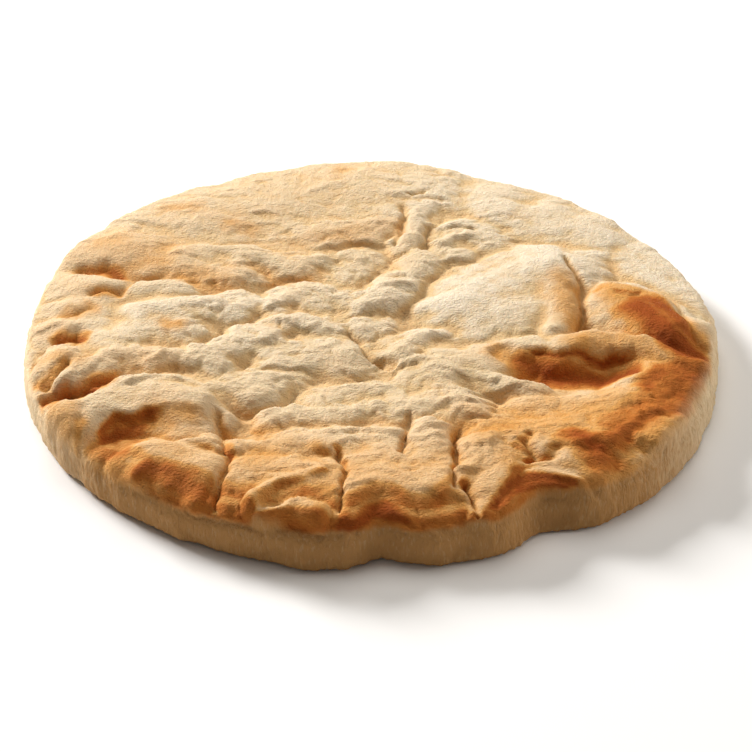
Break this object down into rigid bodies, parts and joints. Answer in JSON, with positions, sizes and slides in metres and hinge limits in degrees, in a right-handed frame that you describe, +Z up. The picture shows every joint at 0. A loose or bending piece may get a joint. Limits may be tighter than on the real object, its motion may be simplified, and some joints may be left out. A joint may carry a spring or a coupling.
{
  "type": "pizza base",
  "caption": "Thick round pizza base of baked dough: puffed, folded and browned crust on top, pale soft side wall and flat underside, ready to be topped.",
  "frame": {"origin": "middle of the flat underside", "axes": "+Z up through the thickness, -Y the front as pictured, +X to the right"},
  "size_m": [0.2981, 0.3035, 0.0275],
  "materials": {
    "crust": null
  },
  "bodies": {
    "root": {"pizza_base": "crust"}
  },
  "joints": []
}
